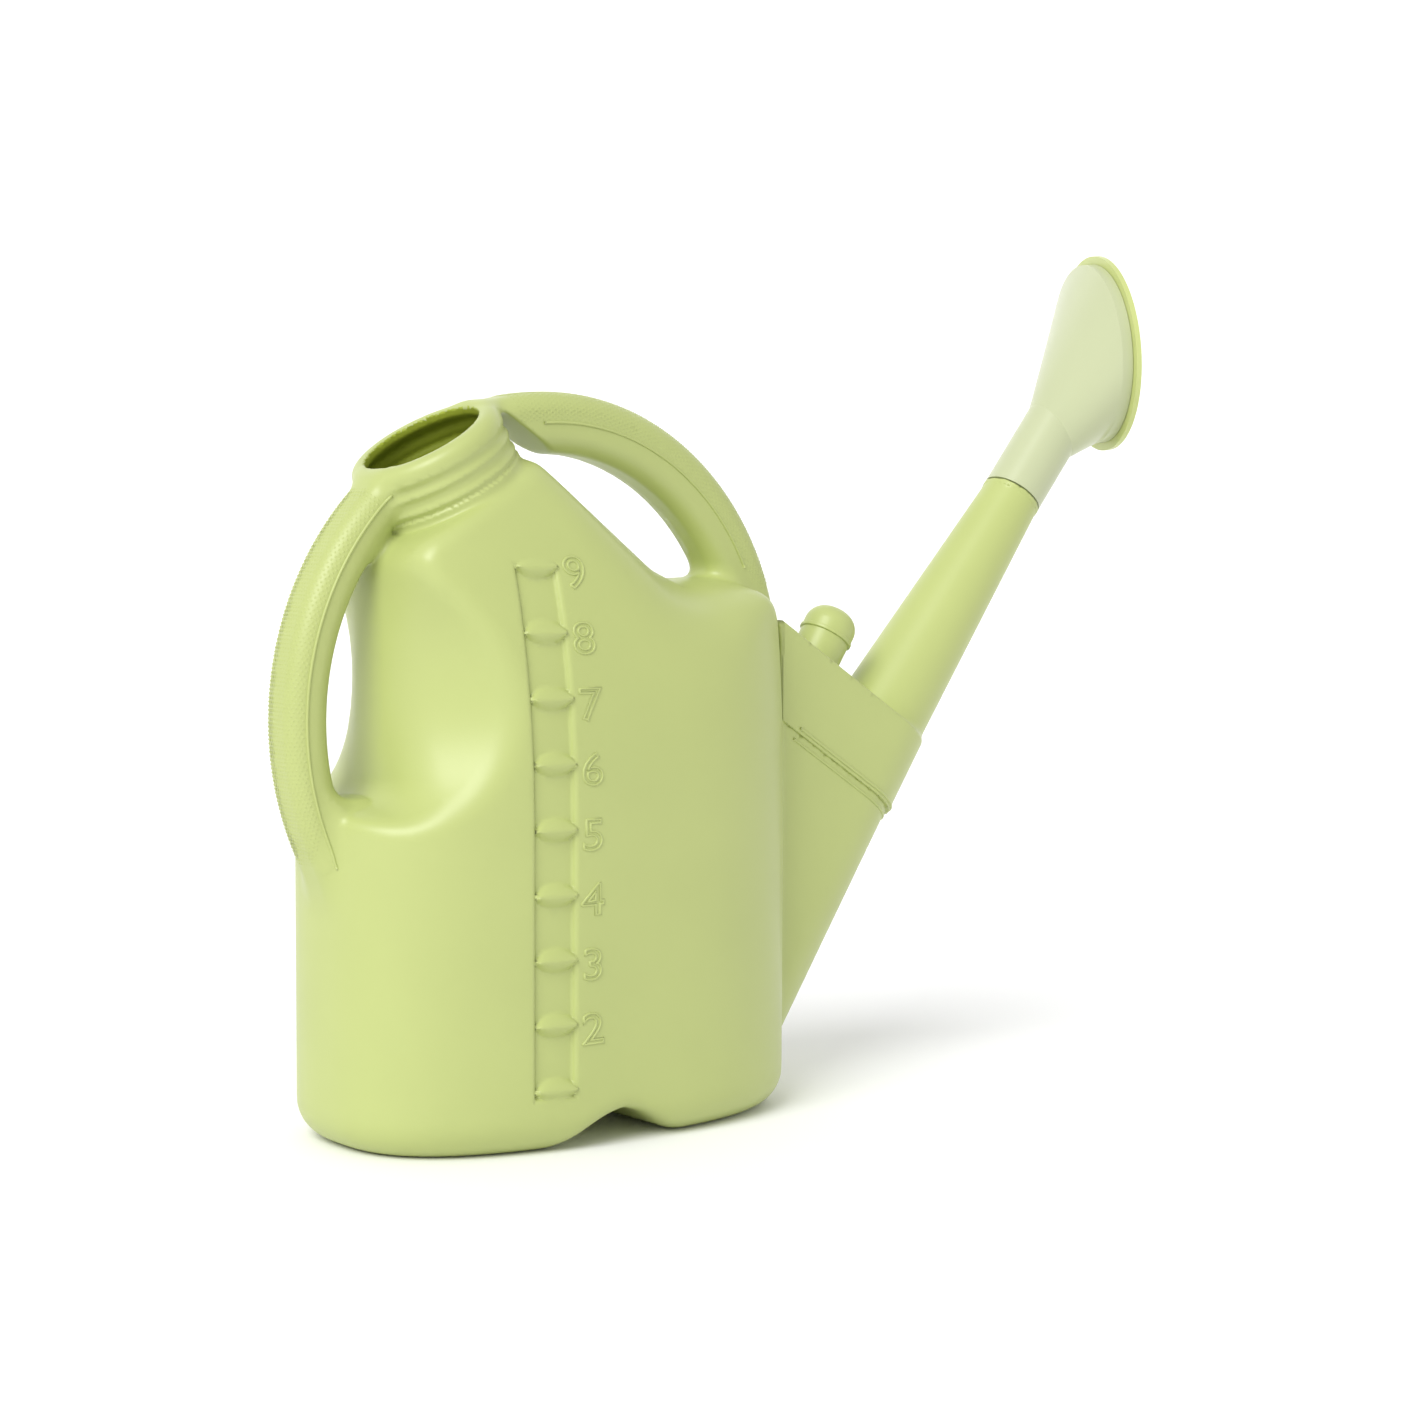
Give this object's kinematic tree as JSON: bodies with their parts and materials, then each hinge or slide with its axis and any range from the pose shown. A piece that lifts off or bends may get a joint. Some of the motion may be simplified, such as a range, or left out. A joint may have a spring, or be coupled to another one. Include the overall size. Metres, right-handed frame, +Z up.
{
  "type": "watering can",
  "caption": "Moulded plastic garden watering can with a rear grip, a top grip, a tilted filler neck and a push-on spout that ends in a turning sprinkler rose.",
  "frame": {"origin": "on the floor, in the can's middle plane, under the middle of the tank", "axes": "+X from the rear grip to the spout, +Z up, -Y is the side with the litre scale"},
  "size_m": [0.5728, 0.155, 0.4541],
  "materials": {
    "tank_plastic": "satin",
    "spout_plastic": "satin",
    "rose_plastic": "satin",
    "face_plastic": "satin",
    "seal_rubber": "matte"
  },
  "bodies": {
    "can": {"tank_shell": "tank_plastic", "filler_neck": "tank_plastic", "rear_grip": "tank_plastic", "top_grip": "tank_plastic", "outlet_wedge": "tank_plastic", "spout_gasket": "seal_rubber", "spout_shoulder": "spout_plastic", "spout_tube": "spout_plastic", "rose_post": "spout_plastic"},
    "rose_seal": {"rose_seal": "seal_rubber"},
    "rose": {"rose_body": "rose_plastic"},
    "rose_plate": {"rose_face": "face_plastic"}
  },
  "joints": [
    {"name": "rose_turn", "type": "hinge", "parent": "can", "child": "rose_seal", "pos_m": [0.3241, 0, 0.3168], "axis": [0.6302, 0, 0.7764], "continuous": true},
    {"name": "rose_pull", "type": "slide", "parent": "rose_seal", "child": "rose", "axis": [0.6302, 0, 0.7764], "range_m": [0, 0.04]},
    {"name": "face_pull", "type": "slide", "parent": "rose", "child": "rose_plate", "axis": [0.9202, -0.383, 0.081], "range_m": [0, 0.012]}
  ]
}
